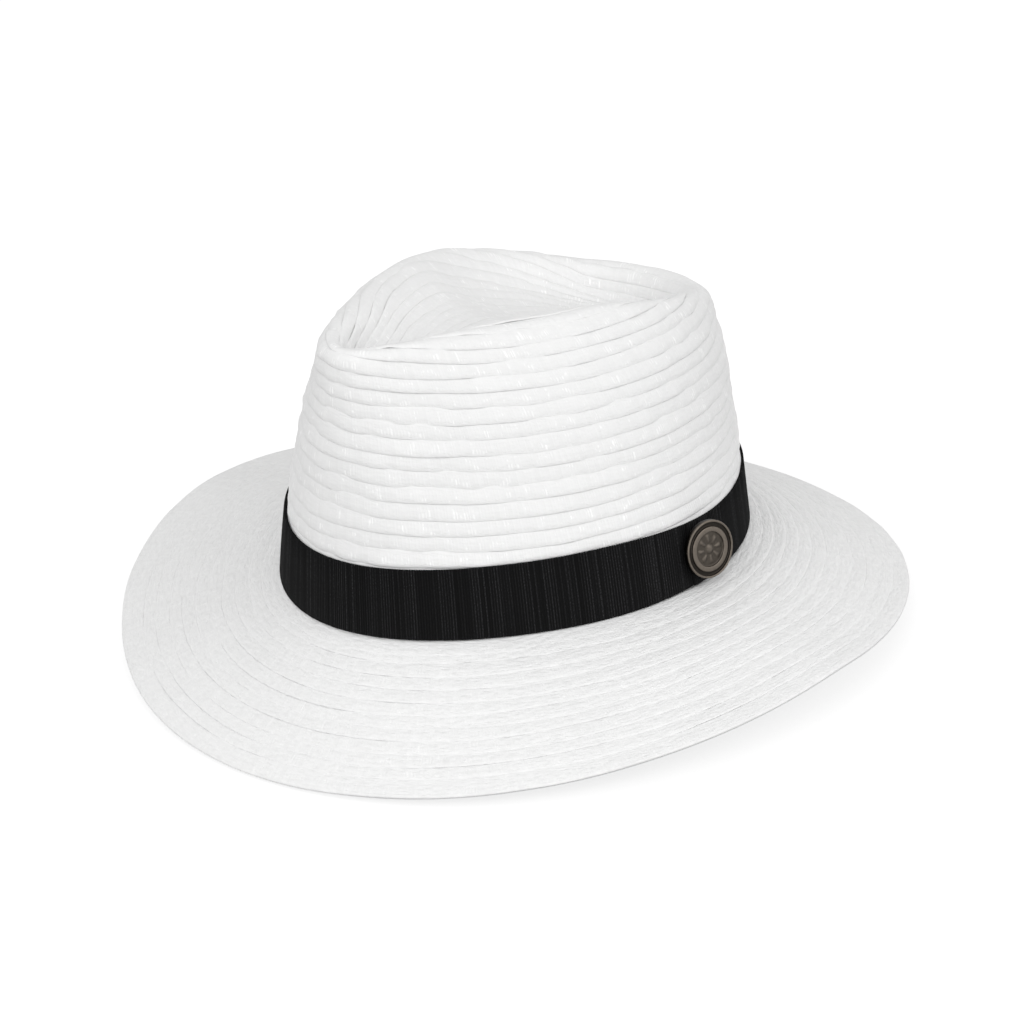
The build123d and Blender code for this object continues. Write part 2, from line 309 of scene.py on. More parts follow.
def dip(sine, power):
    """Share of the brim's extra drop: 0 at the sides, 1 at front or back."""
    soft = brim_side_softness
    low = soft ** (power / 2)
    high = (1 + soft) ** (power / 2)
    return ((sine**2 + soft) ** (power / 2) - low) / (high - low)


def brim_edge(turn):
    """Outer edge of the brim."""
    sine = np.sin(turn)
    reach = np.where(sine > 0, brim_back_reach, brim_front_reach)
    back = (brim_back_drop - brim_side_drop) * dip(sine, brim_back_power)
    front = (brim_front_drop - brim_side_drop) * dip(sine, brim_front_power)
    drop = brim_side_drop + np.where(sine > 0, back, front)
    plan = full(turn, brim_fullness)
    return np.stack([brim_half_width * np.cos(turn) * plan, reach * sine * plan, -drop], axis=-1)


def brim_face(turn, share):
    """Lower face of the brim; share is 0 at the crown and 1 at the edge."""
    turn, share = np.broadcast_arrays(turn, share)
    part = share[..., None]
    points = open_crown(turn, 0.0) * (1 - part) + brim_edge(turn) * part
    points[..., 2] -= brim_sag * 4 * share * (1 - share)
    return points


def lifted(face, turn, place, height, step):
    """Points at a height over a face, along its normal to the outside."""
    along = face(turn + turn_step, place) - face(turn - turn_step, place)
    across = face(turn, place + step) - face(turn, place - step)
    if face is brim_face:
        across = -across
    normal = np.cross(along, across)
    normal /= np.linalg.norm(normal, axis=-1, keepdims=True)
    return face(turn, place) + normal * np.asarray(height)[..., None]


# ---------------------------------------------------------------- mesh building


def smooth_noise(turns, per_turn, size):
    """Smooth random values along a strip, per_turn of them in each turn."""
    count = int(math.ceil(turns[-1] / (2 * math.pi) * per_turn)) + 4
    knots = random.uniform(-size, size, count)
    place = turns / (2 * math.pi) * per_turn
    index = np.floor(place).astype(int)
    part = smooth_step(place - index)
    return knots[index] * (1 - part) + knots[index + 1] * part


def new_object(name, data):
    """Object in the scene that shows a mesh, a lamp or a camera."""
    made = bpy.data.objects.new(name, data)
    bpy.context.scene.collection.objects.link(made)
    return made


def grid_mesh(name, points, along, across, closed=False):
    """Tube mesh from stations by section points, with the strip's own lengths as UV."""
    stations, ring = points.shape[:2]
    mesh = bpy.data.meshes.new(name)
    index = np.arange(stations * ring).reshape(stations, ring)
    ahead = np.roll(index, -1, axis=0) if closed else index[1:]
    here = index if closed else index[:-1]
    quads = np.stack(
        [here, np.roll(here, -1, axis=1), np.roll(ahead, -1, axis=1), ahead], axis=-1
    ).reshape(-1, 4)
    faces = quads.tolist()
    if not closed:
        faces.append(index[0][::-1].tolist())
        faces.append(index[-1].tolist())
    mesh.from_pydata(stand(points).reshape(-1, 3).tolist(), [], faces)
    mesh.validate()
    lay_lengths(mesh, len(quads), along, across, stations, ring, closed)
    mesh.polygons.foreach_set("use_smooth", [True] * len(mesh.polygons))
    return new_object(name, mesh)


def lay_lengths(mesh, quads, along, across, stations, ring, closed):
    """UV map: length along the strip and across it, in millimetres."""
    layer_uv = mesh.uv_layers.new(name="strip")
    along_mm = np.broadcast_to(np.asarray(along) / mm, (stations, ring))
    across_mm = np.broadcast_to(np.asarray(across) / mm, (stations, ring))
    step = along_mm[1:2] - along_mm[:1]
    far_along = np.concatenate([along_mm, along_mm[-1:] + step])
    far_across = np.concatenate([across_mm, across_mm[:1]])
    rows = stations if closed else stations - 1
    low, high = np.arange(rows)[:, None], np.arange(rows)[:, None] + 1
    here, beside = np.arange(ring)[None], (np.arange(ring)[None] + 1) % ring
    corners = [(low, here), (low, beside), (high, beside), (high, here)]
    pairs = [np.stack([far_along[i, j], far_across[i, j]], axis=-1) for i, j in corners]
    uv = np.stack(pairs, axis=2).reshape(-1, 2)
    values = np.zeros((len(mesh.loops), 2))
    values[: quads * 4] = uv
    layer_uv.data.foreach_set("uv", values.ravel())


# One course across: share of the way to the next course's edge, further millimetres,
# and height in layers over the inner face of the hat.
course_section = [
    (0.00, 0.00, 1.22),
    (0.00, 0.25, 1.42),
    (0.00, 1.00, 1.62),
    (0.35, 0.00, 1.70),
    (0.72, 0.00, 1.46),
    (1.00, 0.00, 1.12),
    (1.00, 1.80, 0.97),
    (1.00, 2.05, 0.50),
    (1.00, 1.80, 0.05),
    (0.75, 0.00, 0.05),
    (0.35, 0.80, 0.50),
    (0.00, 0.50, 0.95),
]

# The folded outer course of the brim is two layers thick and has a round edge.
edge_section = [
    (0.00, 0.00, 1.00),
    (0.00, 0.18, 1.50),
    (0.00, 0.75, 1.85),
    (0.40, 0.00, 1.72),
    (0.75, 0.00, 1.45),
    (1.00, 0.00, 1.20),
    (1.00, 1.80, 0.97),
    (1.00, 2.05, 0.50),
    (1.00, 1.80, 0.05),
    (0.45, 0.00, 0.00),
    (0.00, 0.75, 0.02),
    (0.00, 0.18, 0.35),
]

# How far the courses of the crown climb at their highest, at these slant heights
climb_slants = np.array([0.0, 30.0, 60.0, 100.0, tip_slant / mm]) * mm
climbs = np.array([0.0, 4.0, 9.0, 10.0, 0.0]) * mm


def row_rise(turn, slant):
    """How much higher than level a course of the crown runs: it climbs round the front."""
    climb = np.interp(slant, climb_slants, climbs)
    away = np.angle(np.exp(1j * (turn - row_top)))
    return climb * (0.5 + 0.5 * np.cos(np.clip(away / row_reach, -1, 1) * math.pi))


def lap_strength(turns, free):
    """How far the free edges stand out: less inside the dent, but not at its front end."""
    inside = smooth_step((free - shoulder_slant - dent_flat_start) / dent_flat_run)
    front = smooth_step((-np.sin(turns) - dent_front) / dent_front_run)
    return 1 - dent_flatness * inside * (1 - front)


def course_strip(name, face, turns, free, covering, section, step):
    """Braid strip from its free edge to under the edge of the course that covers it."""
    share = np.array([point[0] for point in section])
    extra = np.array([point[1] for point in section]) * mm
    height = np.array([point[2] for point in section]) * layer
    turn = turns[:, None]
    way = np.sign(covering - free)[:, None]
    spread = face(turns, free + step) - face(turns, free - step)
    scale = np.linalg.norm(spread, axis=-1) / (2 * step)
    scale = np.maximum(scale, least_scale * scale.max())[:, None]
    wobble = sum(smooth_noise(turns, *wave) for wave in wobbles)[:, None]
    puff = (sum(smooth_noise(turns, *wave) for wave in puffs) - puff_sink)[:, None]
    free_side = (1 - share)[None]
    place = free[:, None] + share * (covering - free)[:, None]
    place = place + way * (extra + wobble * free_side) / scale
    strength = np.full_like(turns, brim_lap_strength)
    if face is crown_face:
        strength = lap_strength(turns, free)
        place = np.minimum(place + row_rise(turn, place), tip_slant - tip_margin)
    quiet = np.minimum(height, buried * layer)
    risen = height - quiet + puff * free_side * np.clip(height / layer, 0, 1)
    points = lifted(face, turn, place, quiet + strength[:, None] * risen, step)
    run = np.linalg.norm(np.diff(points.mean(axis=1), axis=0), axis=-1)
    along = np.concatenate([[0], np.cumsum(run)])[:, None]
    width = np.abs(covering - free)[:, None] * scale
    return grid_mesh(name, points, along, share * width + extra)


def crown_edges():
    """Free edges of all the courses of the crown, from the brim up to the start."""
    top = first_lap + crown_pitch * split_course
    low = [first_lap + crown_pitch * n for n in range(-hidden_courses, split_course)]
    count = int((tip_slant - top) / crown_pitch)
    pitch = (tip_slant - top) / (count + 1)
    return np.array([max(edge, 0.0) for edge in low] + [top + pitch * n for n in range(count + 2)])


def spiral(edges, first, last, per_turn, cover=1):
    """Turns, free edge and covering edge of a strip that winds from one course to another."""
    turns = np.linspace(0, 2 * math.pi * (last - first), int(per_turn * (last - first)) + 1)
    count = first + turns / (2 * math.pi)
    order = np.arange(len(edges))
    free = np.interp(count, order, edges)
    covering = np.interp(count + cover, order, edges)
    return turns, free, covering


def crown_braid():
    """The braid of the crown, wound from the brim up over the ridge into the dent."""
    edges = crown_edges()
    split = hidden_courses + split_course
    last = len(edges) - 1.2      # the winding ends just short of the start loop
    pieces = []
    for name, first, end in (("side_crown_braid", 0, split), ("crown_tip_braid", split, last)):
        turns, *lines = spiral(edges, first, end, crown_stations)
        turns = turns + math.pi / 2
        pieces.append(course_strip(name, crown_face, turns, *lines, course_section, slant_step))
    return pieces


def brim_braid():
    """The braid of the brim: its wound courses, its folded edge and its foot at the crown."""
    gap = (edge_share - brim_first_lap) / (brim_courses - 1)
    edges = [brim_start] + [brim_first_lap + gap * number for number in range(brim_courses)]
    turns, free, covering = spiral(np.array(edges), 1, brim_courses, brim_stations, cover=-1)
    around = np.linspace(0, 2 * math.pi, edge_stations + 1)
    rim_covering = np.interp(around, [0, 2 * math.pi], edges[-2:])
    ring = np.linspace(0, 2 * math.pi, ring_stations + 1)
    strips = (
        ("brim_braid", turns, free, np.maximum(covering, 0.0), course_section),
        ("brim_edge_braid", around, np.full_like(around, 1.0), rim_covering, edge_section),
        ("brim_foot_braid", ring, np.full_like(ring, brim_first_lap),
         np.full_like(ring, brim_start), course_section),
    )
    return [
        course_strip(name, brim_face, turns + math.pi / 2, free, covering, section, share_step)
        for name, turns, free, covering, section in strips
    ]


def start_loop():
    """The doubled start of the braid, which closes the floor of the dent."""
    stations, wide = 120, 9
    overlap, height = 3.0 * mm, 1.5 * layer
    swell, groove, groove_reach = 0.5 * mm, 0.25 * mm, 0.06
    turn = np.linspace(-math.pi / 2, math.pi / 2, stations)
    place, tall = np.full(stations, tip_slant - overlap), np.full(stations, height)
    left = lifted(crown_face, turn, place, tall, slant_step)
    right = left * np.array([-1, 1, 1])
    part = np.linspace(0, 1, wide)[None, :, None]
    top = left[:, None] * (1 - part) + right[:, None] * part
    away = (part[..., 0] - 0.5) / groove_reach
    top[..., 2] += np.sin(np.pi * part[..., 0]) * swell - groove * np.exp(-(away**2))
    low = top[:, ::-1].copy()
    low[..., 2] -= layer
    points = np.concatenate([top, low], axis=1)
    return grid_mesh("start_loop_braid", points, points[..., 1], np.abs(points[..., 0]))


# ---------------------------------------------------------------- ribbon


# The ribbon across: share of its width, and of its thickness from the inner face.
ribbon_section = [
    (0.000, 0.5),
    (0.012, 1.0),
    (0.330, 1.0),
    (0.660, 1.0),
    (0.988, 1.0),
    (1.000, 0.5),
    (0.988, 0.0),
    (0.660, 0.0),
    (0.330, 0.0),
    (0.012, 0.0),
]


def ribbon_points(turns, wave, inner_face, thickness):
    """Stations of the ribbon's section over the crown, ribbed along its length."""
    edge_zone, ribbed_from = 0.4, 0.6           # only the edges are toothed, only the front ribbed
    share = np.array([point[0] for point in ribbon_section])
    outer = np.array([point[1] for point in ribbon_section])
    rib = (0.5 - 0.5 * np.cos(wave))[:, None]
    edge = np.where(np.abs(share - 0.5) > edge_zone, np.sign(0.5 - share), 0)
    behind = smooth_step((np.sin(turns)[:, None] - behind_start) / behind_run)
    foot = ribbon_foot - ribbon_hang * (1 - share) * (1 - behind)
    slant = foot + share * (ribbon_width - ribbon_dip * behind) + tooth * (1 - rib) * edge
    relief = rib_height * (rib - 0.5) * np.where(outer > ribbed_from, 1, 0)
    offset = layer + inner_face + outer * thickness + relief
    return lifted(crown_face, turns[:, None], slant, offset, slant_step)


def head_length(turns):
    """Length round the head opening up to each turn."""
    around = 2 * math.pi * math.sqrt((head_half_width**2 + head_half_length**2) / 2)
    return (turns / (2 * math.pi) * around)[:, None]


def ribbon_strip(name, turns, ribs, inner_face, thickness, closed):
    """Length of ribbon with its ribs, and its own lengths as UV."""
    points = ribbon_points(turns, turns * ribs, inner_face, thickness)
    return grid_mesh(name, points, head_length(turns), points[..., 2], closed=closed)


def ribbon_pieces():
    """The ribbon round the crown, and its end lapped under the medal."""
    per_rib = 4                  # stations
    ribs = int(2 * math.pi * head_half_length / rib_pitch)
    turns = np.linspace(0, 2 * math.pi, ribs * per_rib, endpoint=False)
    band = ribbon_strip("ribbon_band", turns, ribs, ribbon_clearance, ribbon_thickness, True)
    reach = join_width / 2 / head_half_length
    turns = badge_turn + np.linspace(-reach, reach, int(join_width / rib_pitch) * per_rib)
    over = ribbon_clearance + ribbon_thickness + seat_gap
    end = ribbon_strip("ribbon_end", turns, ribs, over, join_thickness, False)
    return band, end


# ---------------------------------------------------------------- medal


def medal_plane():
    """Centre of the medal's back, and its own axes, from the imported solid."""
    mesh = frame["nodes"]["badge"].data
    largest = max(mesh.polygons, key=lambda polygon: polygon.area)
    normal = Vector(largest.normal)
    if normal.x < 0:
        normal = -normal
    side = Vector((0, 0, 1)).cross(normal).normalized()
    up = normal.cross(side)
    corners = np.array([vertex.co for vertex in mesh.vertices])
    spans = [corners @ np.array(axis) for axis in (side, up, normal)]
    (left, right), (low, high), (back, front) = [(span.min(), span.max()) for span in spans]
    origin = side * (left + right) / 2 + up * (low + high) / 2 + normal * back
    return origin, side, up, normal, (right - left) / 2, front - back


def rounded(profile, radius, steps=4):
    """Outline with each corner but the first and last rounded by an arc."""
    least_sides = 2.2            # an arc takes less than half of a side
    points = [profile[0]]
    for before, corner, after in zip(profile, profile[1:], profile[2:]):
        corner = Vector(corner)
        first, second = Vector(before) - corner, Vector(after) - corner
        cut = min(radius, first.length / least_sides, second.length / least_sides)
        start = corner + first.normalized() * cut
        end = corner + second.normalized() * cut
        for number in range(steps + 1):
            part = number / steps
            bend = start * (1 - part) ** 2 + corner * 2 * part * (1 - part) + end * part**2
            points.append(tuple(bend))
    return points + [profile[-1]]


def medal():
    """Round medal: thin rim, dark channel, raised ring, and a well with a plain rosette."""
    origin, side, up, normal, radius, thickness = medal_plane()
    channel = radius - rim_width
    ring_outer = channel - channel_width
    ring_inner = ring_outer - ring_width
    channel_floor = thickness - channel_depth
    well_floor = thickness - well_depth
    profile = [
        (0.0, 0.0),
        (radius - medal_edge, 0.0),
        (radius, medal_edge),
        (radius, thickness),
        (channel, thickness),
        (channel, channel_floor),
        (ring_outer, channel_floor),
        (ring_outer, thickness),
        (ring_inner, thickness),
        (ring_inner, well_floor),
        (0.0, well_floor),
    ]
    outline = rounded(profile, medal_rounding)[:-1]
    well = (ring_inner - medal_edge) * np.linspace(0.98, 0.0, well_rings)
    distances = np.concatenate([[point[0] for point in outline], well])
    heights = np.concatenate([[point[1] for point in outline], np.full(well_rings, well_floor)])
    angle = np.linspace(0, 2 * math.pi, medal_stations, endpoint=False)[:, None]
    in_well = np.arange(len(distances)) >= len(outline)
    tall = heights + np.where(in_well, rosette(angle, distances[None], ring_inner), 0)
    flat_x, flat_y = distances * np.cos(angle), distances * np.sin(angle)
    points = np.array(origin) + flat_x[..., None] * np.array(side)
    points = points + flat_y[..., None] * np.array(up) + tall[..., None] * np.array(normal)
    return lathe_mesh("medal", points, tall / thickness)


def rosette(angle, distance, reach):
    """Relief of a boss with a ring of plain petals round it."""
    boss = boss_height * np.clip(1 - (distance / (boss_reach * reach)) ** 2, 0, 1) ** 0.5
    petals = np.clip(np.cos(petal_count * angle), 0, 1) ** petal_side_power
    place = (distance / reach - petal_place) / petal_reach
    return boss + petal_height * petals * np.clip(1 - place**2, 0, 1) ** petal_end_power


def lathe_mesh(name, points, tall):
    """Closed mesh from sections round an axis; the first and last point lie on the axis."""
    turns, count = points.shape[:2]
    mesh = bpy.data.meshes.new(name)
    inner = points[:, 1:-1].reshape(-1, 3)
    verts = inner.tolist() + [points[0, 0].tolist(), points[0, -1].tolist()]
    width = count - 2
    index = np.arange(turns * width).reshape(turns, width)
    ahead = np.roll(index, -1, axis=0)
    quads = np.stack([index[:, :-1], ahead[:, :-1], ahead[:, 1:], index[:, 1:]], axis=-1)
    faces = quads.reshape(-1, 4).tolist()
    low, high = turns * width, turns * width + 1
    faces += [[low, ahead[number, 0], index[number, 0]] for number in range(turns)]
    faces += [[high, index[number, -1], ahead[number, -1]] for number in range(turns)]
    mesh.from_pydata(verts, [], [[int(i) for i in face] for face in faces])
    mesh.validate()
    level = np.concatenate([tall[:, 1:-1].ravel(), [tall[0, 0], tall[0, -1]]])
    corner = np.empty(len(mesh.loops), dtype=np.int32)
    mesh.loops.foreach_get("vertex_index", corner)
    uv = np.stack([np.zeros(len(corner)), level[corner]], axis=-1)
    mesh.uv_layers.new(name="level").data.foreach_set("uv", uv.ravel())
    mesh.polygons.foreach_set("use_smooth", [True] * len(mesh.polygons))
    return new_object(name, mesh)


# ---------------------------------------------------------------- sweatband


def lining(name, section):
    """Ring inside the crown, from points of slant height and depth under the inner face."""
    turns = np.linspace(0, 2 * math.pi, ring_stations, endpoint=False)
    slants = np.array([point[0] for point in section])
    depths = np.array([point[1] for point in section])
    points = lifted(crown_face, turns[:, None], slants[None], -depths[None], slant_step)
    return grid_mesh(name, points, head_length(turns), slants[None], closed=True)


def round_section(low, width, thickness, steps=5):
    """Rounded section from its lower end, its width and its thickness, inside the crown."""
    high = low + width
    near, far = sweat_clearance, sweat_clearance + thickness
    half = (far - near) / 2
    middle = (far + near) / 2
    section = []
    for centre, start in ((high - half, 0.5), (low + half, 1.5)):
        for number in range(steps + 1):
            angle = math.pi * (start - number / steps)
            section.append((centre + half * math.cos(angle), middle - half * math.sin(angle)))
    return section


def sweatband_pieces():
    """The sweatband and the reed rolled into its foot."""
    band = lining("sweatband_lining", round_section(sweat_foot, sweat_width, sweat_thickness))
    reed = lining("sweatband_roll", round_section(reed_foot, reed_width, reed_thickness))
    return band, reed


# ---------------------------------------------------------------- materials


def group(name, inputs, outputs):
    """Shader node group with its input and output nodes; an input without a value is a place."""
    tree = bpy.data.node_groups.new(name, "ShaderNodeTree")
    for label, value in inputs.items():
        kind = "NodeSocketVector" if value is None else "NodeSocketFloat"
        socket = tree.interface.new_socket(label, in_out="INPUT", socket_type=kind)
        if value is not None:
            socket.default_value = value
    for label in outputs:
        tree.interface.new_socket(label, in_out="OUTPUT", socket_type="NodeSocketFloat")
    return tree, tree.nodes.new("NodeGroupInput"), tree.nodes.new("NodeGroupOutput")


def feed(tree, node, values):
    """Inputs of a node each take a link, a number or a colour."""
    for label, value in values.items():
        if isinstance(value, bpy.types.NodeSocket):
            tree.links.new(value, node.inputs[label])
        else:
            node.inputs[label].default_value = value


def new_node(tree, kind, values, **settings):
    """New node with its settings and its inputs."""
    node = tree.nodes.new("ShaderNode" + kind)
    for label, value in settings.items():
        setattr(node, label, value)
    feed(tree, node, values)
    return node


def math_node(tree, kind, *values):
    """Result of a math node."""
    return new_node(tree, "Math", dict(enumerate(values)), operation=kind).outputs[0]


def times(tree, first, second):
    """Product of two values."""
    return math_node(tree, "MULTIPLY", first, second)


def linear(tree, value, factor, offset):
    """A value times a factor, plus an offset."""
    return math_node(tree, "MULTIPLY_ADD", value, factor, offset)


def lengths(tree, strip):
    """Length along a strip, and across it."""
    split = new_node(tree, "SeparateXYZ", {0: strip})
    return split.outputs[0], split.outputs[1]


def noise(tree, place, scale, detail=2.0):
    """Smooth noise over a place, about 0.5."""
    values = {"Vector": place, "Scale": scale, "Detail": detail}
    return new_node(tree, "TexNoise", values).outputs[0]


def stretched(tree, place, scale):
    """A place measured with another scale along and across."""
    return new_node(tree, "Mapping", {"Vector": place, "Scale": scale}).outputs[0]


def one_of_each(tree, number):
    """Random value for each whole number."""
    node = new_node(tree, "TexWhiteNoise", {"W": number}, noise_dimensions="1D")
    return node.outputs["Value"]


def ranged(tree, value, low, high, kind="SMOOTHSTEP"):
    """Share of the way from one value to another."""
    values = {"Value": value, "From Min": low, "From Max": high}
    return new_node(tree, "MapRange", values, interpolation_type=kind).outputs[0]


def hump(tree, part):
    """Rise from 0 to 1 and fall back while a part goes from 0 to 1."""
    return times(tree, math_node(tree, "SUBTRACT", 1.0, part), times(tree, part, 4.0))


def strand_group():
    """Strands of the paper braid: short ribs across the strip, long floats at both edges."""
    tree, source, sink = group(
        "braid_strands",
        {"Strip": None, "Strand": 1.25, "Width": 6.0},
        ("Height", "Strand tone", "Glint", "Streak"),
    )
    sway_scale, sway_reach, slant = 0.35, 1.6, 0.03
    float_pitch, float_slant = 5.2, 0.9
    floats_start, floats_full = 0.45, 0.85      # from the strip's middle line to its edges
    float_height, float_level = 0.25, 0.55
    rib_power, crest_power = 0.6, 4.0
    rib_low, crest_low = 0.5, 0.3               # the faintest strand against the boldest
    patch_scale, patch_start, patch_full = 0.22, 0.57, 0.65
    streak_scale = (0.26, 0.72, 1.0)
    relief_height, glint_height = 0.35, 0.35
    strip = source.outputs["Strip"]
    along, across = lengths(tree, strip)
    values = {"W": along, "Scale": sway_scale, "Detail": 2.0}
    sway = new_node(tree, "TexNoise", values, noise_dimensions="1D").outputs[0]
    swayed = math_node(tree, "ADD", along, linear(tree, sway, sway_reach, -sway_reach / 2))
    slanted = linear(tree, across, slant, swayed)
    phase = math_node(tree, "DIVIDE", slanted, source.outputs["Strand"])
    tone = one_of_each(tree, math_node(tree, "FLOOR", phase))
    rise = hump(tree, math_node(tree, "FRACT", phase))
    boldness = linear(tree, tone, 1 - rib_low, rib_low)
    rib = times(tree, math_node(tree, "POWER", rise, rib_power), boldness)
    half = math_node(tree, "DIVIDE", across, source.outputs["Width"])
    centre = math_node(tree, "ABSOLUTE", linear(tree, half, 2.0, -1.0))
    middle = ranged(tree, centre, floats_full, floats_start)
    float_phase = linear(tree, across, float_pitch, times(tree, along, float_slant))
    floats = linear(tree, math_node(tree, "SINE", float_phase), float_height, float_level)
    values = {0: middle, 2: floats, 3: rib}     # inputs 2 and 3 are the numbers that it mixes
    relief = new_node(tree, "Mix", values, data_type="FLOAT").outputs[0]
    patch = ranged(tree, noise(tree, strip, patch_scale), patch_start, patch_full)
    boldness = linear(tree, tone, 1 - crest_low, crest_low)
    crest = times(tree, math_node(tree, "POWER", rise, crest_power), boldness)
    # Glint: bright crests of strands in random patches. The braid paints it lighter into its
    # colour as a painted highlight, and also makes those strands smoother and a little raised.
    glint = times(tree, times(tree, crest, patch), middle)
    feed(tree, sink, {
        "Height": linear(tree, glint, glint_height, times(tree, relief, relief_height)),
        "Strand tone": tone,
        "Glint": glint,
        "Streak": noise(tree, stretched(tree, strip, streak_scale), scale=1.0, detail=3.0),
    })
    return tree


def stitch_group():
    """Row of machine stitches along a strip."""
    tree, source, sink = group(
        "machine_stitches",
        {"Strip": None, "Row": 1.3, "Length": 3.4, "Thread": 0.3},
        ("Height", "Mask"),
    )
    thread_share, hole_depth = 0.72, 1.5
    along, across = lengths(tree, source.outputs["Strip"])
    away = math_node(tree, "SUBTRACT", across, source.outputs["Row"])
    wide = math_node(tree, "DIVIDE", math_node(tree, "ABSOLUTE", away), source.outputs["Thread"])
    body = math_node(tree, "SUBTRACT", 1.0, times(tree, wide, wide))
    body = math_node(tree, "MAXIMUM", body, 0.0)
    phase = math_node(tree, "FRACT", math_node(tree, "DIVIDE", along, source.outputs["Length"]))
    dash = math_node(tree, "LESS_THAN", phase, thread_share)
    mask = times(tree, body, dash)
    hole = times(tree, math_node(tree, "SUBTRACT", 1.0, dash), body)
    height = math_node(tree, "SUBTRACT", mask, times(tree, hole, hole_depth))
    feed(tree, sink, {"Height": height, "Mask": mask})
    return tree


def tone_group():
    """Slow change of tone over a surface, with fine dust in it."""
    tree, source, sink = group("handled_tone", {"Scale": 18.0, "Depth": 0.1}, ("Tone",))
    place = new_node(tree, "TexCoord", {}).outputs["Object"]
    dust = noise(tree, place, source.outputs["Scale"], detail=4.0)
    depth = times(tree, math_node(tree, "SUBTRACT", dust, 0.5), source.outputs["Depth"])
    feed(tree, sink, {"Tone": math_node(tree, "ADD", depth, 1.0)})
    return tree


def material(name):
    """New material with its shader, and the tree it lives in."""
    made = bpy.data.materials.new(name)
    made.use_nodes = True
    tree = made.node_tree
    return made, tree, tree.nodes["Principled BSDF"]


def place_group(tree, shared, **values):
    """A shared group in a material, with its own values."""
    return new_node(tree, "Group", values, node_tree=shared)


def strip_place(tree):
    """The strip's own lengths, in millimetres."""
    return new_node(tree, "UVMap", {}, uv_map="strip").outputs[0]


def mixed(tree, factor, first, second, blend="MIX"):
    """Mix of two colours, which are inputs 6 and 7 of the node."""
    values = {0: factor, 6: first, 7: second}
    return new_node(tree, "Mix", values, data_type="RGBA", blend_type=blend).outputs[2]


def tinted(tree, colour, factor):
    """A colour times a factor."""
    return mixed(tree, 1.0, (*colour, 1), factor, "MULTIPLY")


def bump(tree, height, distance, strength):
    """Normal that a height over the surface gives."""
    values = {"Height": height, "Distance": distance, "Strength": strength}
    return new_node(tree, "Bump", values).outputs[0]


def braid_material(name, glint, streak):
    """White paper braid: how much the glints of its strands are painted lighter into its colour as
    a painted highlight, and how much its floats streak.
    """
    white, base = (0.88, 0.88, 0.878), 0.96
    tone_reach, stitch_height, streak_height = 0.025, 0.2, 24
    rough, polish = 0.62, 0.30                  # a glint is smoother by this much
    made, tree, shader = material(name)
    strip = strip_place(tree)
    strands = place_group(tree, strand_nodes, Strip=strip, Strand=1.25, Width=6.2).outputs
    stitches = place_group(tree, stitch_nodes, Strip=strip, Row=1.35, Length=3.4, Thread=0.28)
    tone = place_group(tree, tone_nodes, Scale=22.0, Depth=0.05).outputs["Tone"]
    # painted highlight: the glints are lightened in the colour; the streaks change the tone at
    # random
    bright = linear(tree, strands["Glint"], glint, base - streak / 2)
    bright = linear(tree, strands["Streak"], streak, bright)
    strand_tone = linear(tree, strands["Strand tone"], tone_reach, 1 - tone_reach / 2)
    factor = times(tree, times(tree, bright, strand_tone), tone)
    height = linear(tree, stitches.outputs["Height"], stitch_height, strands["Height"])
    height = linear(tree, strands["Streak"], streak * streak_height, height)
    feed(tree, shader, {
        "Base Color": tinted(tree, white, factor),
        "Roughness": linear(tree, strands["Glint"], -polish, rough),
        "Normal": bump(tree, height, distance=0.25 * mm, strength=0.7),
    })
    return made


def grosgrain_material():
    """Black ribbon: fine warp along it, and ribs with a painted highlight on their crests."""
    black, low_shade, painted_crest_highlight = (0.009, 0.009, 0.0095), 0.3, 28.0
    weft_scale, warp_pitch, warp_height = (3.2, 1.6, 1.0), 0.32, 0.35
    crest_power, breakup_power = 4.0, 4.0
    made, tree, shader = material("black_grosgrain")
    strip = strip_place(tree)
    along, across = lengths(tree, strip)
    weft = noise(tree, stretched(tree, strip, weft_scale), scale=1.0, detail=5.0)
    warp = math_node(tree, "SINE", times(tree, across, 2 * math.pi / warp_pitch))
    phase = math_node(tree, "DIVIDE", along, rib_pitch / mm)
    rib = one_of_each(tree, math_node(tree, "FLOOR", phase))
    rise = hump(tree, math_node(tree, "FRACT", phase))
    # painted highlight: the crests of random ribs are lightened in the colour, broken up along
    # them by the weft noise
    crest = times(tree, math_node(tree, "POWER", rise, crest_power), rib)
    lightened = times(tree, crest, math_node(tree, "POWER", weft, breakup_power))
    tone = place_group(tree, tone_nodes, Scale=60.0, Depth=0.25).outputs["Tone"]
    factor = times(tree, linear(tree, lightened, painted_crest_highlight, low_shade), tone)
    height = linear(tree, warp, warp_height, weft)
    feed(tree, shader, {
        "Base Color": tinted(tree, black, factor),
        "Roughness": 0.8,
        "Sheen Weight": 0.02,
        "Specular IOR Level": 0.08,
        "Normal": bump(tree, height, distance=0.12 * mm, strength=0.6),
    })
    return made


def metal_material(name, colour, dark, scale, relief=False):
    """Darkened metal: patina in the low places, worn on the high ones."""
    low, high, rub_power = 0.58, 1.0, 0.6       # heights between which the metal is rubbed
    patina_reach, patina_level = 0.8, 0.6
    made, tree, shader = material(name)
    place = new_node(tree, "TexCoord", {}).outputs["Object"]
    patina = noise(tree, place, scale, detail=6.0)
    lightened = patina
    if relief:
        level = new_node(tree, "UVMap", {}, uv_map="level").outputs[0]
        rubbed = ranged(tree, lengths(tree, level)[1], low, high, "LINEAR")
        rubbed = math_node(tree, "POWER", rubbed, rub_power)
        lightened = times(tree, rubbed, linear(tree, patina, patina_reach, patina_level))
    feed(tree, shader, {
        "Base Color": mixed(tree, lightened, (*dark, 1), (*colour, 1)),
        "Metallic": 1.0,
        "Roughness": linear(tree, patina, 0.3, 0.25),
        "Normal": bump(tree, patina, distance=0.05 * mm, strength=0.3),
    })
    return made


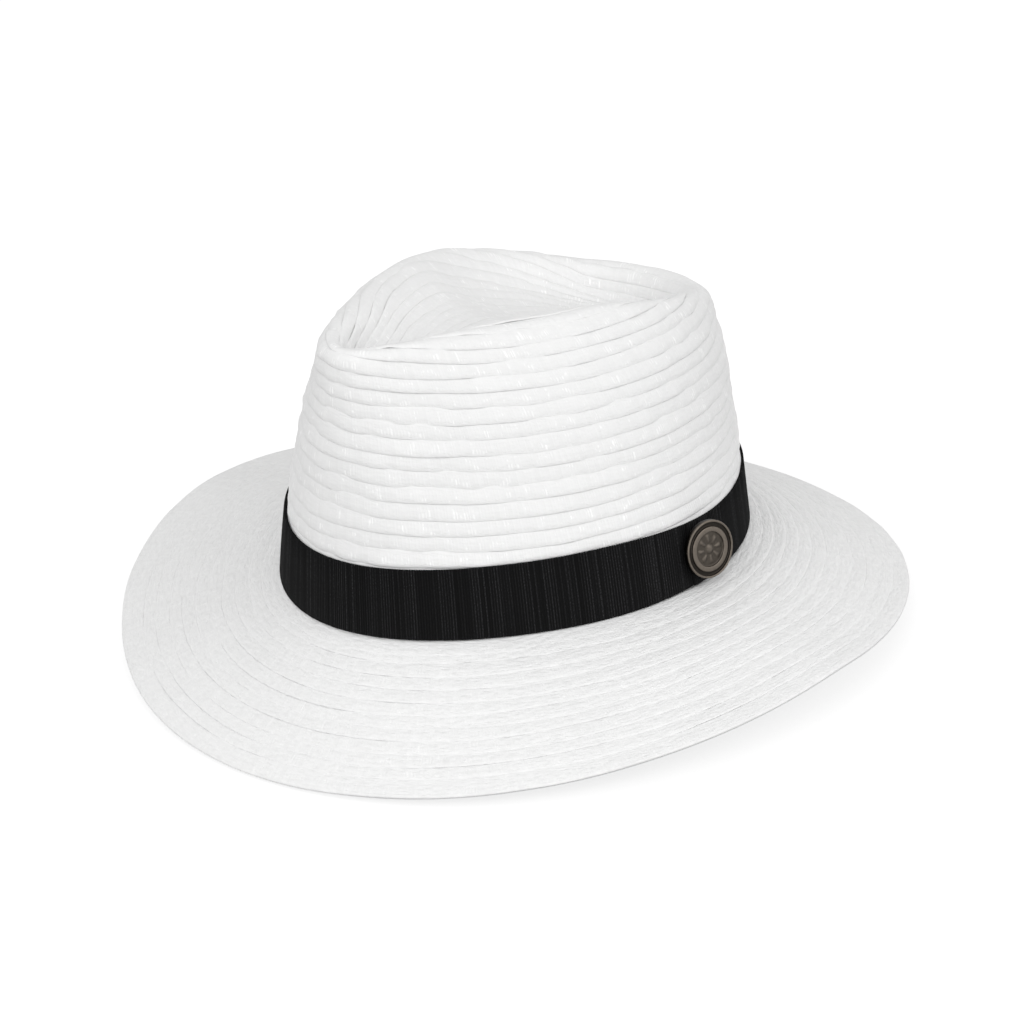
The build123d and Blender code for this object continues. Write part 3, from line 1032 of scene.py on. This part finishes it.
def sweatband_material():
    """White cotton twill of the sweatband."""
    cotton, twill_pitch, line_depth = (0.80, 0.79, 0.76), 0.6, 0.03
    made, tree, shader = material("white_cotton_band")
    twill = math_node(tree, "ADD", *lengths(tree, strip_place(tree)))
    line = math_node(tree, "SINE", times(tree, twill, 2 * math.pi / twill_pitch))
    tone = place_group(tree, tone_nodes, Scale=30.0, Depth=0.12).outputs["Tone"]
    factor = times(tree, linear(tree, line, line_depth, 1 - line_depth), tone)
    feed(tree, shader, {
        "Base Color": tinted(tree, cotton, factor),
        "Roughness": 0.85,
        "Normal": bump(tree, line, distance=0.08 * mm, strength=0.6),
    })
    return made


strand_nodes = strand_group()
stitch_nodes = stitch_group()
tone_nodes = tone_group()
white_braid = braid_material("white_paper_braid", glint=0.17, streak=0.06)
brim_white = braid_material("white_paper_braid_brim", glint=0.05, streak=0.13)
black_grosgrain = grosgrain_material()
antique_bronze = metal_material(
    "antique_bronze", (0.145, 0.125, 0.105), (0.016, 0.014, 0.012), 900.0, relief=True
)
prong_metal = metal_material("prong_metal", (0.42, 0.36, 0.27), (0.20, 0.17, 0.13), 600.0)
white_sweatband = sweatband_material()


def dress(piece, finish, slot, *nodes):
    """A piece takes its finish, rides on the hat and stands for its solids."""
    piece.data.materials.clear()
    piece.data.materials.append(finish)
    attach(piece, "root")
    if nodes:
        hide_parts(*nodes)


def repaint(node, finish):
    """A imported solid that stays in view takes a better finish."""
    solid = frame["nodes"][node]
    solid.data.materials.clear()
    solid.data.materials.append(finish)


side_braid, tip_braid = crown_braid()
dress(side_braid, white_braid, "white_braid", "side_crown")
dress(tip_braid, white_braid, "white_braid", "crown_tip")
brim_body, brim_rim, brim_foot = brim_braid()
dress(brim_body, brim_white, "white_braid", "brim")
dress(brim_rim, brim_white, "white_braid", "brim_edge_course")
dress(brim_foot, brim_white, "white_braid")
dress(start_loop(), white_braid, "white_braid", "tip_button")
ribbon_band, ribbon_end = ribbon_pieces()
dress(ribbon_band, black_grosgrain, "black_grosgrain", "ribbon")
dress(ribbon_end, black_grosgrain, "black_grosgrain", "ribbon_join")
dress(medal(), antique_bronze, "antique_bronze", "badge")
repaint("badge_prong_front", prong_metal)
repaint("badge_prong_back", prong_metal)
band_lining, band_roll = sweatband_pieces()
dress(band_lining, white_sweatband, "white_sweatband", "sweatband")
dress(band_roll, white_sweatband, "white_sweatband", "sweatband_reed")
repaint("sweatband_seam_tape", white_sweatband)


# ---------------------------------------------------------------- stage, light and camera


def emission_for_eye(tree, strength):
    """White light that only the eye, reflections and clear glass see."""
    path = new_node(tree, "LightPath", {}).outputs
    seen = math_node(tree, "MAXIMUM", path["Is Camera Ray"], path["Is Glossy Ray"])
    seen = math_node(tree, "MAXIMUM", seen, path["Is Transmission Ray"])
    return times(tree, seen, strength)


def floor():
    """Plain pale floor that keeps a faint shadow of the hat."""
    size, gap, grey, glow = 12.0, 0.6 * mm, 0.36, 0.76
    level = cad_low.z - gap
    mesh = bpy.data.meshes.new("floor")
    corners = [(x * size, y * size, level) for x, y in ((-1, -1), (1, -1), (1, 1), (-1, 1))]
    mesh.from_pydata(corners, [], [(0, 1, 2, 3)])
    made, tree, shader = material("pale_floor")
    feed(tree, shader, {
        "Base Color": (grey, grey, grey, 1),
        "Roughness": 1.0,
        "Specular IOR Level": 0.0,
        "Emission Color": (1, 1, 1, 1),
        "Emission Strength": emission_for_eye(tree, glow),
    })
    mesh.materials.append(made)
    new_object("floor", mesh)


def world_light():
    """Even studio light, white to the eye."""
    world = bpy.data.worlds.new("studio")
    bpy.context.scene.world = world
    world.use_nodes = True
    tree = world.node_tree
    extra = emission_for_eye(tree, 1 - world_strength)
    strength = math_node(tree, "ADD", extra, world_strength)
    feed(tree, tree.nodes["Background"], {"Color": (1, 1, 1, 1), "Strength": strength})


def lamp(name, place, size, power):
    """Soft square lamp that looks at the middle of the hat."""
    data = bpy.data.lights.new(name, "AREA")
    data.size = size
    data.energy = power
    light = new_object(name, data)
    light.location = place
    light.rotation_mode = "QUATERNION"
    light.rotation_quaternion = (hat_centre - Vector(place)).to_track_quat("-Z", "Y")


def camera():
    """Camera to the front and left of the hat, a little above it."""
    azimuth, elevation, roll = (math.radians(angle) for angle in (39.459, 23.201, -1.947))
    distance, focal, rise, side_shift = 1.3, 115.81, 10.01 * mm, -1.44 * mm
    level = math.cos(elevation)
    back = Vector((math.sin(azimuth) * level, -math.cos(azimuth) * level, math.sin(elevation)))
    right = Vector((math.cos(azimuth), math.sin(azimuth), 0))
    up = back.cross(right)
    rolled_right = right * math.cos(roll) + up * math.sin(roll)
    rolled_up = up * math.cos(roll) - right * math.sin(roll)
    to_pose = Matrix(hat_axes.tolist()).transposed()
    place = to_pose @ (back * distance)
    aim = to_pose @ (rolled_up * rise + rolled_right * side_shift)
    ahead = (aim - place).normalized()
    side = ahead.cross(to_pose @ rolled_up).normalized()
    data = bpy.data.cameras.new("camera")
    data.sensor_width = 36.0
    data.lens = focal
    data.clip_start, data.clip_end = 0.05, 60.0
    eye = new_object("camera", data)
    turned = Matrix((side, side.cross(ahead), -ahead)).transposed().to_4x4()
    turned.translation = place
    eye.matrix_world = turned
    bpy.context.scene.camera = eye


hat_centre = (cad_low + cad_high) / 2
floor()
world_light()
lamp("key_lamp", *key_lamp)
lamp("fill_lamp", *fill_lamp)
camera()
bpy.context.scene.view_settings.view_transform = "Standard"
